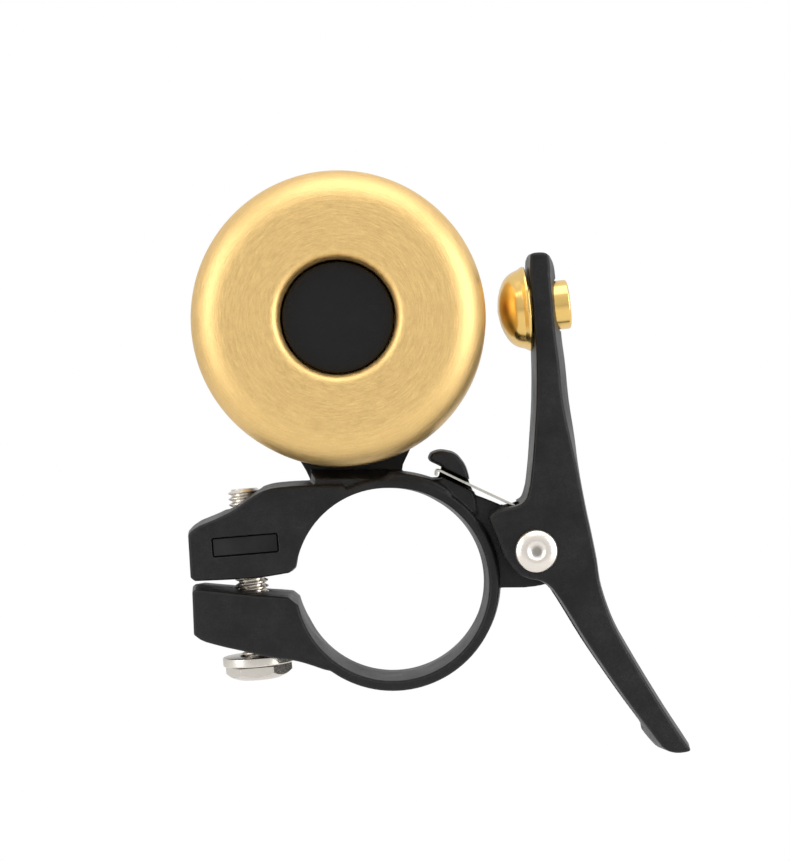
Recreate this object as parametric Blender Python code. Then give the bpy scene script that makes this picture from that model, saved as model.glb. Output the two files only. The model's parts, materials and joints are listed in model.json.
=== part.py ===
"""Bicycle bell for a 22.2 mm handlebar: a moulded clamp band, a brass dome and a sprung lever with a brass striker.

Metres in the scene, millimetres in this file. +Z is up, the handlebar runs along Y, and -Y is the front,
where the dome's crest and the lever's rivet head are. The origin is the handlebar's centre at the band's
middle. The outlines of the mouldings are drawn for the nominal band and grow with it.
"""

import math

import bpy
from mathutils import Matrix, Vector

MM = 0.001

# Driving sizes, in millimetres
BAR_DIAMETER = 22.2
STRAP_THICKNESS = 2.1
BAND_WIDTH = 12.0
CREST = 0.5            # how far a moulding's middle stands outside its faces
BORE_CREST = 0.4
EDGE = 0.25            # small chamfer round the faces of a moulding
GAP = 0.15             # clearance between two pieces that seat on each other

DOME_DIAMETER = 35.3
DOME_LEAN = -6.4       # the dome's centre, left of the handlebar's
DOME_WALL = 0.9
DOME_CREST_Y = -14.0
DOME_RIM_Y = -0.6
DOME_OVER_BAND = 0.7   # rim to band
WELL_RADIUS = 6.7
WELL_FLARE = 0.15      # how much wider the well is below its lip
WELL_LIP = 1.2         # radius of the lip round the well
WELL_FLOOR_Y = -2.2

SEAT_WASHER_THICKNESS = 0.8
FLAT_WASHER_THICKNESS = 0.7
SPRING_WASHER_THICKNESS = 0.8
DOME_SCREW_DIAMETER = 3.6
BACK_PLATE_Y = 0.8
BACK_PLATE_THICKNESS = 3.5
BACK_PAD_RADIUS = 9.4
CAP_Y = -11.2

PIVOT_DIAMETER = 3.0
LEVER_WIDTH = 10.0
LEVER_Y = -3.0         # the lever's middle plane
LUG_THICKNESS = 4.0
FORK_CLEARANCE = 0.3

STRIKER_GAP = 1.35
STRIKER_HEIGHT = 3.7
STRIKER_DIAMETER = 10.1
STRIKER_SHANK = 5.9
STRIKER_LENGTH = 4.9   # flange to the far end of the shank
STRIKER_ABOVE_DOME_CENTRE = 1.5
STRIKER_TILT = 6.5     # degrees

CLAMP_SCREW_DIAMETER = 4.0
CLAMP_TILT = 4.8       # degrees, the tip leaning left
CLAMP_AT = (-17.15, -0.5)
CLAMP_TIP = 11.8       # along the screw from CLAMP_AT
CLAMP_SEAT = -8.5
CLAMP_WASHER_DIAMETER = 8.6
CLAMP_WASHER_THICKNESS = 1.1
NUT_AT = 5.2
NUT_THICKNESS = 2.0
NUT_RECESS = 0.25      # the nut's front face, inside the jaw's
BORE_RELIEF = 0.75     # the bore opens towards the back beside the jaws, by this much in front
BORE_RELIEF_BACK = 1.25
BORE_RELIEF_ANGLE = 143  # degrees, anticlockwise from +X
SADDLE_HEIGHT = 0.3    # the band stands prouder by this between the neck and the horn

BAND_ROUND = 112       # facets round the band and its bore
ROUND = 64
SMALL = 32
CORNER = 32            # degrees; an outline that turns further than this keeps a sharp corner

# Derived sizes
BORE_RADIUS = BAR_DIAMETER / 2
BAND_RADIUS = BORE_RADIUS + STRAP_THICKNESS
GROWTH = BAND_RADIUS / 13.2
HALF_BAND = BAND_WIDTH / 2
DOME_RADIUS = DOME_DIAMETER / 2
DOME_X = DOME_LEAN
DOME_Z = BAND_RADIUS + DOME_OVER_BAND + DOME_RADIUS
PIVOT_X = 16.95 * GROWTH
PIVOT_Z = 4.12 * GROWTH
STRIKER_X = DOME_X + DOME_RADIUS + STRIKER_GAP + STRIKER_HEIGHT
STRIKER_Z = DOME_Z + STRIKER_ABOVE_DOME_CENTRE
CLAMP_X = CLAMP_AT[0] * GROWTH
CLAMP_Z = CLAMP_AT[1] * GROWTH
LEVER_FRONT = LEVER_Y - LEVER_WIDTH / 2
LEVER_BACK = LEVER_Y + LEVER_WIDTH / 2
LUG_FRONT = LEVER_Y - LUG_THICKNESS / 2
LUG_BACK = LEVER_Y + LUG_THICKNESS / 2
BACK_PLATE_END = BACK_PLATE_Y + BACK_PLATE_THICKNESS
WELL_UNDER_Y = WELL_FLOOR_Y + DOME_WALL
SEAT_WASHER_FRONT = WELL_UNDER_Y + GAP
SEAT_WASHER_BACK = SEAT_WASHER_FRONT + SEAT_WASHER_THICKNESS
BOSS_Y = SEAT_WASHER_BACK + GAP
FLAT_WASHER_BACK = WELL_FLOOR_Y - GAP
FLAT_WASHER_FRONT = FLAT_WASHER_BACK - FLAT_WASHER_THICKNESS
SPRING_WASHER_BACK = FLAT_WASHER_FRONT - GAP
SPRING_WASHER_FRONT = SPRING_WASHER_BACK - SPRING_WASHER_THICKNESS
DOME_SCREW_SEAT_Y = SPRING_WASHER_FRONT - GAP

# Outlines of the mouldings in the XZ plane, anticlockwise as seen from the front
UPPER_JAW = [
    (-23.6, 0.4), (-20.0, 0.55), (-16.0, 0.8), (-12.4, 1.4), (-8.0, 3.0), (-4.0, 10.0), (-6.0, 11.85),
    (-10.0, 11.8), (-13.4, 11.6), (-14.5, 11.45), (-15.6, 11.1), (-17.0, 10.3), (-19.1, 8.8), (-21.1, 7.8),
    (-23.9, 6.45), (-24.4, 5.9), (-24.1, 0.8),
]
LOWER_JAW = [
    (-23.9, -0.9), (-23.7, -6.0), (-22.9, -6.6), (-21.1, -7.2), (-17.6, -8.0), (-14.0, -8.8), (-12.2, -9.0),
    (-10.8, -9.3), (-9.5, -9.7), (-7.5, -10.3), (-5.0, -10.0), (-8.0, -3.0), (-12.2, -1.6), (-15.6, -1.35),
    (-18.2, -1.1), (-23.4, -0.5),
]
JAW_GAP = [
    (-30.0, 0.2), (-30.0, -0.1), (-18.2, -1.1), (-12.4, -1.6), (-11.4, -2.4), (-9.0, -3.4), (-9.0, 3.4),
    (-11.4, 2.3), (-12.4, 1.4), (-16.0, 0.8), (-20.0, 0.55),
]
HORN = [
    (1.5, 12.8), (2.0, 10.8), (8.8, 8.4), (10.4, 8.1), (10.0, 10.7), (9.36, 12.25), (9.2, 13.05),
    (8.7, 14.4), (8.3, 14.95), (7.8, 15.5), (7.2, 15.85), (6.6, 16.0), (5.9, 16.1), (5.15, 16.0),
    (4.5, 15.7), (4.23, 15.1), (4.35, 14.75), (4.7, 14.5), (5.15, 14.3), (5.85, 13.95), (5.5, 12.75),
    (4.0, 12.7),
]
LUG = [
    (6.0, 12.2), (6.5, 10.2), (11.0, 5.0), (11.8, -0.5), (13.2, -0.45), (16.95, -0.3), (19.0, 0.25),
    (20.5, 1.5), (21.3, 3.3), (21.3, 4.9), (20.5, 6.7), (19.0, 8.0), (16.9, 8.45), (15.2, 8.6),
    (13.7, 9.1), (11.9, 9.85), (9.4, 10.75), (8.2, 11.05),
]
SPRING = [
    (14.6, 9.1), (14.7, 9.35), (14.6, 9.57), (10.2, 11.62), (5.9, 13.63), (5.5, 13.72), (5.2, 13.55),
    (5.06, 13.0), (5.3, 12.9), (5.52, 13.02), (5.62, 13.28), (5.8, 13.2), (10.1, 11.19),
]
SPRING_SLOT = [
    (14.95, 8.75), (15.1, 9.2), (14.95, 9.75), (10.3, 11.93), (5.95, 13.95), (5.3, 14.05), (4.8, 13.7),
    (4.75, 12.5), (5.85, 12.55), (6.05, 12.75), (10.0, 10.9),
]

# The lever: x and z of its widest outline, and how far its faces lie inside it there
LEVER = [
    (18.25, 39.65, 0.45), (17.2, 39.7, 0.35), (16.35, 39.5, 0.25), (16.05, 39.15, 0.15), (16.05, 37.4, 0.1),
    (16.35, 33.5, 0.1), (16.8, 28.0, 0.1), (16.8, 22.0, 0.15), (16.5, 17.2, 0.2), (16.15, 13.8, 0.3),
    (15.7, 11.1, 0.35), (15.4, 10.4, 0.4), (14.9, 10.05, 0.5), (13.9, 9.85, 0.6), (12.9, 9.55, 0.5),
    (12.0, 9.2, 0.4), (11.4, 8.75, 0.3), (11.25, 8.1, 0.15), (11.55, 7.4, 0.1), (12.05, 6.25, 0.1),
    (12.6, 4.85, 0.1), (12.85, 4.1, 0.1), (13.2, 3.3, 0.1), (13.55, 2.65, 0.15), (14.15, 1.8, 0.2),
    (15.0, 1.1, 0.2), (16.2, 0.6, 0.2), (17.4, 0.3, 0.3), (18.3, -0.3, 0.4), (19.3, -1.8, 0.55),
    (20.15, -3.2, 0.6), (22.5, -7.1, 0.65), (25.0, -10.8, 0.65), (27.4, -14.2, 0.65), (29.8, -17.4, 0.65),
    (31.0, -18.9, 0.6), (31.9, -19.75, 0.5), (33.0, -20.1, 0.4), (34.6, -20.1, 0.4), (35.4, -19.9, 0.4),
    (35.7, -19.4, 0.4), (34.6, -17.7, 0.5), (33.4, -15.9, 0.5), (31.0, -12.1, 0.5), (28.6, -8.1, 0.5),
    (26.6, -4.5, 0.5), (25.6, -1.9, 0.5), (24.95, 0.4, 0.5), (24.6, 2.8, 0.5), (24.0, 5.8, 0.5),
    (23.2, 9.5, 0.5), (22.3, 14.5, 0.6), (21.9, 17.6, 0.9), (21.2, 22.0, 1.1), (20.7, 26.8, 1.1),
    (20.35, 29.3, 1.1), (19.9, 34.1, 1.1), (19.55, 36.7, 1.0), (19.25, 38.5, 0.8), (18.8, 39.4, 0.6),
]
FORK = [
    (6.0, 12.0), (6.0, -2.0), (12.0, -4.0), (18.5, -4.0), (20.6, 0.6), (21.6, 2.4), (21.85, 4.1),
    (21.5, 5.9), (20.4, 7.6), (18.8, 8.7), (16.9, 9.1), (15.2, 9.6), (13.7, 10.2), (12.4, 10.7),
]
CHANNEL = [
    (12.0, -3.0), (16.0, -12.0), (26.0, -22.0), (30.1, -17.2), (29.5, -16.0), (28.2, -13.2), (26.0, -9.7),
    (24.1, -6.4), (22.9, -3.6), (22.2, -1.0), (21.6, 1.4), (19.6, -0.4), (17.5, -2.0),
]


def grown(points):
    return [(p[0] * GROWTH, p[1] * GROWTH) for p in points]


def lever_point(x, z):
    """A point of the lever: its lower part grows with the band, and its arm reaches for the striker."""
    x, z = x * GROWTH, z * GROWTH
    root = 13.0 * GROWTH
    if z <= root:
        return x, z
    share = (z - root) / (33.0 * GROWTH - root)
    return x + share * (STRIKER_X - 16.25 * GROWTH), root + share * (STRIKER_Z - root)


def turning(before, here, after):
    """How far an outline turns at a point, in degrees."""
    into = Vector((here[0] - before[0], here[1] - before[1]))
    out = Vector((after[0] - here[0], after[1] - here[1]))
    return math.degrees(into.angle(out))


def curved(outline, parts=3):
    """A smooth outline through drawn points, which may carry a third value; its sharp corners stay."""
    points = [Vector(point) for point in outline]
    count = len(points)
    sharp = [turning(points[i - 1], points[i], points[(i + 1) % count]) > CORNER for i in range(count)]
    slopes = []
    for i, here in enumerate(points):
        into, out = here - points[i - 1], points[(i + 1) % count] - here
        near, far = into.length, out.length
        slopes.append((into / near * far + out / far * near) / (near + far))
    smooth = []
    for i, here in enumerate(points):
        j = (i + 1) % count
        chord = points[j] - here
        smooth.append(tuple(here))
        if sharp[i] and sharp[j]:
            continue
        first = chord if sharp[i] else slopes[i] * chord.length
        last = chord if sharp[j] else slopes[j] * chord.length
        for k in range(1, parts):
            t = k / parts
            point = here + chord * (3 * t * t - 2 * t ** 3)
            point += first * (t ** 3 - 2 * t * t + t) + last * (t ** 3 - t * t)
            smooth.append(tuple(point))
    return smooth


def inset(outline, distances):
    """An anticlockwise outline moved inwards by a distance at each point; a negative one moves it out."""
    moved = []
    count = len(outline)
    for i, (x, z) in enumerate(outline):
        before, after = outline[i - 1], outline[(i + 1) % count]
        into = Vector((x - before[0], z - before[1])).normalized()
        out = Vector((after[0] - x, after[1] - z)).normalized()
        first, second = Vector((-into.y, into.x)), Vector((-out.y, out.x))
        middle = (first + second) / max(0.6, 1 + first.dot(second))
        distance = distances[i] if isinstance(distances, list) else distances
        moved.append((x + middle.x * distance, z + middle.y * distance))
    return moved


def finish_mesh(name, points, faces, material):
    mesh = bpy.data.meshes.new(name)
    mesh.from_pydata([Vector(p) * MM for p in points], [], faces)
    mesh.update()
    made = bpy.data.objects.new(name, mesh)
    bpy.context.scene.collection.objects.link(made)
    if material:
        mesh.materials.append(material)
    return made


def loft(name, layers, material=None):
    """A closed solid through outlines of equal length, each given as (y, points), front first."""
    count = len(layers[0][1])
    points = [(x, y, z) for y, outline in layers for x, z in outline]
    faces = [list(range(count)), [len(points) - 1 - i for i in range(count)]]
    for k in range(len(layers) - 1):
        near, far = k * count, (k + 1) * count
        for i in range(count):
            j = (i + 1) % count
            faces.append([near + i, far + i, far + j, near + j])
    return finish_mesh(name, points, faces, material)


def slab(name, outline, front, back, material=None):
    return loft(name, [(front, outline), (back, outline)], material)


def moulding(name, outline, front, back, crest, material=None):
    """A slab with chamfered faces whose middle stands out by the crest."""
    faces = inset(outline, EDGE)
    widest = inset(outline, -crest)
    layers = [
        (front, faces),
        (front + EDGE, outline),
        ((front + back) / 2, widest),
        (back - EDGE, outline),
        (back, faces),
    ]
    return loft(name, layers, material)


def turned(name, profile, steps, material=None, start=0):
    """A solid turned about local Z. The profile of (radius, height) runs down its outer side; one that
    doesn't start on the axis is a closed loop."""
    on_axis = profile[0][0] == 0
    points, rings = [], []
    for radius, height in profile:
        if radius == 0:
            rings.append([len(points)] * steps)
            points.append((0, 0, height))
            continue
        rings.append([len(points) + i for i in range(steps)])
        for i in range(steps):
            angle = start + 2 * math.pi * i / steps
            points.append((radius * math.cos(angle), radius * math.sin(angle), height))
    pairs = list(zip(rings, rings[1:])) + ([] if on_axis else [(rings[-1], rings[0])])
    faces = []
    for upper, lower in pairs:
        for i in range(steps):
            j = (i + 1) % steps
            corners = [upper[i], lower[i], lower[j], upper[j]]
            faces.append(list(dict.fromkeys(corners)))
    return finish_mesh(name, points, faces, material)


def along_y(made, x, z):
    """Turns a piece made about Z so that its top faces the front, on an axis through (x, z)."""
    made.matrix_world = Matrix.Translation(Vector((x, 0, z)) * MM) @ Matrix.Rotation(math.pi / 2, 4, "X")
    return made


def facing_front(profile):
    """A profile of (radius, y) as the (radius, height) of a piece that along_y will turn."""
    return [(radius, -y) for radius, y in profile]


def on_clamp_axis(made):
    made.matrix_world = Matrix.Translation(Vector((CLAMP_X, 0, CLAMP_Z)) * MM) @ Matrix.Rotation(
        -math.radians(CLAMP_TILT), 4, "Y"
    )
    return made


def on_striker_axis(made):
    """Local Z, the top of the button, points at the dome."""
    made.matrix_world = Matrix.Translation(Vector((STRIKER_X, LEVER_Y, STRIKER_Z)) * MM) @ Matrix.Rotation(
        -math.radians(90 + STRIKER_TILT), 4, "Y"
    )
    return made


def combine(target, tool, operation):
    step = target.modifiers.new(tool.name, "BOOLEAN")
    step.operation = operation
    step.solver = "EXACT"
    step.object = tool
    tool.hide_render = True
    tool.display_type = "WIRE"


def join(target, tool):
    combine(target, tool, "UNION")


def cut(target, tool):
    combine(target, tool, "DIFFERENCE")


def paint(name, colour, roughness, metallic):
    material = bpy.data.materials.new(name)
    material.use_nodes = True
    shader = material.node_tree.nodes["Principled BSDF"]
    shader.inputs["Base Color"].default_value = (*colour, 1)
    shader.inputs["Roughness"].default_value = roughness
    shader.inputs["Metallic"].default_value = metallic
    return material


def cylinder(name, radius, top, bottom, steps=SMALL):
    return turned(name, [(0, top), (radius, top), (radius, bottom), (0, bottom)], steps)


def band_profile(radius, crest, reach):
    return [
        (0, -reach), (radius - crest - EDGE, -reach), (radius - crest, -reach + EDGE), (radius, 0),
        (radius - crest, reach - EDGE), (radius - crest - EDGE, reach), (0, reach),
    ]


def bore_cutter():
    past = HALF_BAND + 2
    wide = BORE_RADIUS + BORE_CREST
    profile = [
        (0, -past), (wide + EDGE + 2, -past), (wide + EDGE, -HALF_BAND), (wide, -HALF_BAND + EDGE),
        (BORE_RADIUS, 0), (wide, HALF_BAND - EDGE), (wide + EDGE, HALF_BAND), (wide + EDGE + 2, past), (0, past),
    ]
    return along_y(turned("cut_bore", facing_front(profile), BAND_ROUND), 0, 0)


def bore_relief_cutter():
    """Opens the bore towards the back beside the jaws: a slanted round hole that misses the rest of it."""
    angle = math.radians(BORE_RELIEF_ANGLE)
    radius = BORE_RADIUS - 0.1
    layers = []
    for y, shift in ((-HALF_BAND - 1, BORE_RELIEF), (HALF_BAND + 1, BORE_RELIEF_BACK)):
        middle_x, middle_z = shift * math.cos(angle), shift * math.sin(angle)
        ring = []
        for i in range(BAND_ROUND):
            turn = 2 * math.pi * i / BAND_ROUND
            ring.append((middle_x + radius * math.cos(turn), middle_z + radius * math.sin(turn)))
        layers.append((y, ring))
    return loft("cut_bore_relief", layers)


def saddle():
    """The prouder stretch of the band between the neck and the horn."""
    face = BAND_RADIUS - CREST
    rise = CREST + SADDLE_HEIGHT - 0.2
    heights = [(104, -0.6), (92, rise), (84, rise), (76, rise), (68, rise), (60, rise * 0.7), (50, -0.6)]
    outline = [(8.0 * GROWTH, 8.0 * GROWTH)]
    for angle, height in reversed(heights):
        turn = math.radians(angle)
        outline.append(((face + height) * math.cos(turn), (face + height) * math.sin(turn)))
    outline.append((-3.0 * GROWTH, 9.5 * GROWTH))
    return moulding("add_saddle", curved(outline), -HALF_BAND + 0.15, HALF_BAND - 0.15, 0.2)


def jaw_gap_cutter():
    outline = grown(JAW_GAP)
    middle = inset(outline, CREST / 2)
    return loft("cut_jaw_gap", [(-HALF_BAND - 1, outline), (0, middle), (HALF_BAND + 1, outline)])


def neck():
    """The root of the back plate, sloping back under the dome's rim."""
    low = BAND_RADIUS - 4
    def section(left, right, top):
        return [(left, low), (right, low), (right, top), (left, top)]
    left, right = -9.9 * GROWTH, 1.1 * GROWTH
    layers = [
        (-HALF_BAND + 0.6, section(left + 0.6, right - 0.6, BAND_RADIUS - 0.6)),
        (-1.2, section(left, right, BAND_RADIUS + DOME_OVER_BAND - 0.7)),
        (BACK_PLATE_Y + 0.7, section(left, right, BAND_RADIUS + DOME_OVER_BAND - 0.3)),
        (BACK_PLATE_END - 0.5, section(left, right, BAND_RADIUS + DOME_OVER_BAND - 0.3)),
    ]
    return loft("add_neck", layers)


def back_plate():
    """A keyhole: a round pad behind the dome's middle on a waisted neck."""
    right, left = 1.1 * GROWTH, -9.9 * GROWTH
    outline = [(right, BAND_RADIUS - 3), (right, BAND_RADIUS), (right + 0.15, BAND_RADIUS + 1)]
    outline += [(right + 1.0, BAND_RADIUS + 2.8), (right + 1.3, BAND_RADIUS + 5)]
    for i in range(25):
        angle = math.radians(-40 + 260 * i / 24)
        outline.append((DOME_X + BACK_PAD_RADIUS * math.cos(angle), DOME_Z + BACK_PAD_RADIUS * math.sin(angle)))
    outline += [(left - 3.1, BAND_RADIUS + 5), (left - 2.6, BAND_RADIUS + 3.4), (left - 1.4, BAND_RADIUS + 1.35)]
    outline += [(left - 0.7, BAND_RADIUS + 0.2), (left, BAND_RADIUS - 1.3), (left, BAND_RADIUS - 3)]
    layers = [
        (BACK_PLATE_Y, outline),
        (BACK_PLATE_END - 0.5, outline),
        (BACK_PLATE_END, inset(outline, 0.4)),
    ]
    return loft("add_back_plate", layers)


def seat_boss():
    return along_y(cylinder("add_seat_boss", 5.0, -BOSS_Y, -BACK_PLATE_Y - 1), DOME_X, DOME_Z)


def nut_slot():
    """A slot across the upper jaw, open to the front, square to the screw."""
    half = CLAMP_SCREW_DIAMETER * 0.95 + GAP
    high = NUT_THICKNESS / 2 + GAP
    middle = NUT_AT * GROWTH
    outline = [(-half, middle - high), (half, middle - high), (half, middle + high), (-half, middle + high)]
    return on_clamp_axis(slab("cut_nut_slot", outline, -HALF_BAND - 2, half + GAP))


def bracket_body(material):
    profile = facing_front(band_profile(BAND_RADIUS, CREST, HALF_BAND))
    body = along_y(turned("bracket_body", profile, BAND_ROUND, material), 0, 0)
    join(body, moulding("add_upper_jaw", curved(grown(UPPER_JAW)), -HALF_BAND, HALF_BAND, CREST))
    join(body, moulding("add_lower_jaw", curved(grown(LOWER_JAW)), -HALF_BAND, HALF_BAND, CREST))
    join(body, saddle())
    join(body, neck())
    join(body, back_plate())
    join(body, seat_boss())
    join(body, moulding("add_horn", inset(curved(grown(HORN)), 0.2), -5.4, 3.2, 0.2))
    join(body, slab("add_pivot_lug", curved(grown(LUG)), LUG_FRONT, LUG_BACK))
    cut(body, bore_cutter())
    cut(body, bore_relief_cutter())
    cut(body, jaw_gap_cutter())
    cut(body, nut_slot())
    hole = CLAMP_SCREW_DIAMETER / 2 + 0.25
    cut(body, on_clamp_axis(cylinder("cut_clamp_hole", hole, 20, -20)))
    pocket = CLAMP_WASHER_DIAMETER / 2 + 0.4
    cut(body, on_clamp_axis(cylinder("cut_washer_pocket", pocket, CLAMP_SEAT * GROWTH + GAP, -20)))
    cut(body, slab("cut_spring_slot", grown(SPRING_SLOT), -9, 0.45))
    cut(body, along_y(cylinder("cut_pivot_hole", PIVOT_DIAMETER / 2 + GAP, 9, -4), PIVOT_X, PIVOT_Z))
    cut(body, along_y(cylinder("cut_dome_hole", DOME_SCREW_DIAMETER / 2 + GAP, 3, -9), DOME_X, DOME_Z))
    return body


def bell_dome(material):
    r = DOME_RADIUS
    wall = DOME_WALL
    y = DOME_CREST_Y
    well = WELL_RADIUS
    mouth = well + WELL_FLARE
    lip = WELL_LIP
    hole = DOME_SCREW_DIAMETER / 2 + 0.4
    outside = [(well, WELL_FLOOR_Y)]
    for i in range(6):
        turn = math.radians(18 * i)
        outside.append((mouth + lip * (1 - math.cos(turn)), y + lip * (1 - math.sin(turn))))
    outside += [
        (mouth + lip + 3.5, y + 0.1), (r - 4.9, y + 0.25), (r - 3.7, y + 0.6), (r - 2.6, y + 1.2), (r - 1.6, y + 2.1),
        (r - 0.9, y + 3.3), (r - 0.45, y + 4.8), (r - 0.25, y + 7.0), (r, DOME_RIM_Y - 0.25), (r - 0.15, DOME_RIM_Y),
    ]
    inside = [
        (r - wall + 0.15, DOME_RIM_Y), (r - wall, DOME_RIM_Y - 0.2), (r - wall - 0.25, y + 7.0),
        (r - wall - 0.45, y + 5.1), (r - wall - 0.9, y + 3.8), (r - wall - 1.6, y + 2.6), (r - wall - 2.6, y + 1.75),
        (r - wall - 3.8, y + 1.2), (mouth + lip + 3.4, y + wall + 0.1), (mouth + lip, y + wall),
        (mouth + wall + 0.05, y + lip), (well + wall, WELL_UNDER_Y), (hole, WELL_UNDER_Y), (hole, WELL_FLOOR_Y),
    ]
    return along_y(turned("bell_dome", facing_front(outside + inside), ROUND, material), DOME_X, DOME_Z)


def washer(name, inner, outer, front, back, material, steps=SMALL):
    profile = [(inner, front), (outer, front), (outer, back), (inner, back)]
    return along_y(turned(name, facing_front(profile), steps, material), DOME_X, DOME_Z)


def dome_spring_washer(material):
    made = washer(
        "dome_spring_washer", DOME_SCREW_DIAMETER / 2 + 0.2, 3.3, SPRING_WASHER_FRONT, SPRING_WASHER_BACK, material
    )
    split = slab("cut_washer_split", [(-0.3, 1), (0.3, 1), (0.3, 5), (-0.3, 5)], -9, 0)
    split.matrix_world = Matrix.Translation(Vector((DOME_X, 0, DOME_Z)) * MM) @ Matrix.Rotation(0.4, 4, "Y")
    cut(made, split)
    return made


def dome_screw(material):
    seat = DOME_SCREW_SEAT_Y
    shank = DOME_SCREW_DIAMETER / 2
    profile = [
        (0, seat - 1.6), (1.6, seat - 1.6), (2.6, seat - 1.4), (3.2, seat - 0.8), (3.3, seat), (shank, seat),
        (shank, BACK_PLATE_END - 0.9), (shank - 0.5, BACK_PLATE_END - 0.4), (0, BACK_PLATE_END - 0.4),
    ]
    made = along_y(turned("dome_screw", facing_front(profile), SMALL, material), DOME_X, DOME_Z)
    arm = [(-2.0, -0.35), (2.0, -0.35), (2.0, 0.35), (-2.0, 0.35)]
    for name, turn in (("cut_cross_a", 0.2), ("cut_cross_b", 0.2 + math.pi / 2)):
        slot = slab(name, arm, seat - 3, seat - 0.7)
        slot.matrix_world = Matrix.Translation(Vector((DOME_X, 0, DOME_Z)) * MM) @ Matrix.Rotation(turn, 4, "Y")
        cut(made, slot)
    return made


def dome_cap(material):
    """A plug that covers the screw: a flat face on a skirt that stands on the dome's floor."""
    radius = WELL_RADIUS - GAP
    foot = WELL_FLOOR_Y - GAP
    profile = [
        (0, CAP_Y), (radius - 0.3, CAP_Y), (radius, CAP_Y + 0.3), (radius, CAP_Y + 1.2), (radius - 0.3, CAP_Y + 1.6),
        (radius - 0.3, foot), (radius - 1.3, foot), (radius - 1.3, CAP_Y + 1.1), (0, CAP_Y + 1.1),
    ]
    return along_y(turned("dome_cap", facing_front(profile), 48, material), DOME_X, DOME_Z)


def leaf_spring(material):
    return slab("leaf_spring", grown(SPRING), LEVER_Y - 3.2, LEVER_Y + 3.2, material)


def clamp_nut(material):
    half = CLAMP_SCREW_DIAMETER * 0.95
    middle = NUT_AT * GROWTH
    low, high = middle - NUT_THICKNESS / 2, middle + NUT_THICKNESS / 2
    outline = [(-half, low), (half, low), (half, high), (-half, high)]
    nut = on_clamp_axis(slab("clamp_nut", outline, -HALF_BAND + NUT_RECESS, half, material))
    cut(nut, on_clamp_axis(cylinder("cut_nut_thread", CLAMP_SCREW_DIAMETER / 2 + GAP, middle + 3, middle - 3)))
    return nut


def clamp_washer(material):
    top = CLAMP_SEAT * GROWTH
    bottom = top - CLAMP_WASHER_THICKNESS
    inner, outer = CLAMP_SCREW_DIAMETER / 2 + 0.2, CLAMP_WASHER_DIAMETER / 2
    profile = [
        (inner, top), (outer - 0.15, top), (outer, top - 0.15), (outer, bottom + 0.15), (outer - 0.15, bottom),
        (inner, bottom),
    ]
    return on_clamp_axis(turned("clamp_washer", profile, 48, material))


def clamp_screw(material):
    seat = CLAMP_SEAT * GROWTH - CLAMP_WASHER_THICKNESS - GAP
    shank = CLAMP_SCREW_DIAMETER / 2
    corner = CLAMP_SCREW_DIAMETER * 1.75 / math.sqrt(3)
    tip = CLAMP_TIP * GROWTH
    prism = [(0, seat), (corner, seat), (corner, seat - 3), (0, seat - 3)]
    screw = on_clamp_axis(turned("clamp_screw", prism, 6, material, math.pi / 6))
    dome = [
        (0, seat + 1), (corner, seat + 1), (corner, seat - 0.3), (corner - 0.4, seat - 0.75),
        (corner - 1.1, seat - 1.2), (corner - 2.1, seat - 1.55), (0, seat - 1.75),
    ]
    combine(screw, on_clamp_axis(turned("keep_head_dome", dome, SMALL)), "INTERSECT")
    rod = [(0, tip), (shank - 0.5, tip), (shank, tip - 0.5), (shank, seat - 0.8), (0, seat - 0.8)]
    join(screw, on_clamp_axis(turned("add_clamp_rod", rod, SMALL)))
    return screw


def pivot_rivet(material):
    """A round head with a dimple at the front and a formed head behind the washer."""
    front, back = LEVER_FRONT - GAP, LEVER_BACK + 2 * GAP + 0.6
    shank = PIVOT_DIAMETER / 2
    profile = [
        (0, front - 0.55), (0.5, front - 0.6), (1.15, front - 1.05), (1.9, front - 0.95), (2.4, front - 0.6),
        (2.55, front - 0.2), (2.5, front), (shank, front), (shank, back), (2.3, back), (2.35, back + 0.3),
        (1.8, back + 0.75), (0, back + 0.9),
    ]
    return along_y(turned("pivot_rivet", facing_front(profile), SMALL, material), PIVOT_X, PIVOT_Z)


def pivot_washer(material):
    front = LEVER_BACK + GAP
    inner = PIVOT_DIAMETER / 2 + GAP
    profile = [(inner, front), (3.2, front), (3.2, front + 0.6), (inner, front + 0.6)]
    return along_y(turned("pivot_washer", facing_front(profile), SMALL, material), PIVOT_X, PIVOT_Z)


def lever_arm(material):
    drawn = curved(LEVER)
    widest = [lever_point(x, z) for x, z, _ in drawn]
    depth = [d for _, _, d in drawn]
    outline = inset(widest, depth)
    faces = inset(widest, [d + EDGE for d in depth])
    layers = [
        (LEVER_FRONT, faces),
        (LEVER_FRONT + EDGE, outline),
        (LEVER_Y, widest),
        (LEVER_BACK - EDGE, outline),
        (LEVER_BACK, faces),
    ]
    arm = loft("lever_arm", layers, material)
    cut(arm, slab("cut_fork", grown(FORK), LUG_FRONT - FORK_CLEARANCE, LUG_BACK + FORK_CLEARANCE))
    cut(arm, slab("cut_channel", grown(CHANNEL), LEVER_FRONT + 2, LEVER_BACK - 2))
    cut(arm, slab("cut_spring_seat", inset(grown(SPRING_SLOT), -0.1), LEVER_Y - 3.5, LEVER_Y + 3.5))
    cut(arm, along_y(cylinder("cut_lever_pivot", PIVOT_DIAMETER / 2 + GAP, 12, -6), PIVOT_X, PIVOT_Z))
    cut(arm, on_striker_axis(cylinder("cut_striker_hole", STRIKER_SHANK / 2 + GAP, 5, -9)))
    cut(arm, on_striker_axis(cylinder("cut_striker_seat", STRIKER_DIAMETER / 2 + 0.3, 5, -GAP)))
    return arm


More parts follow.
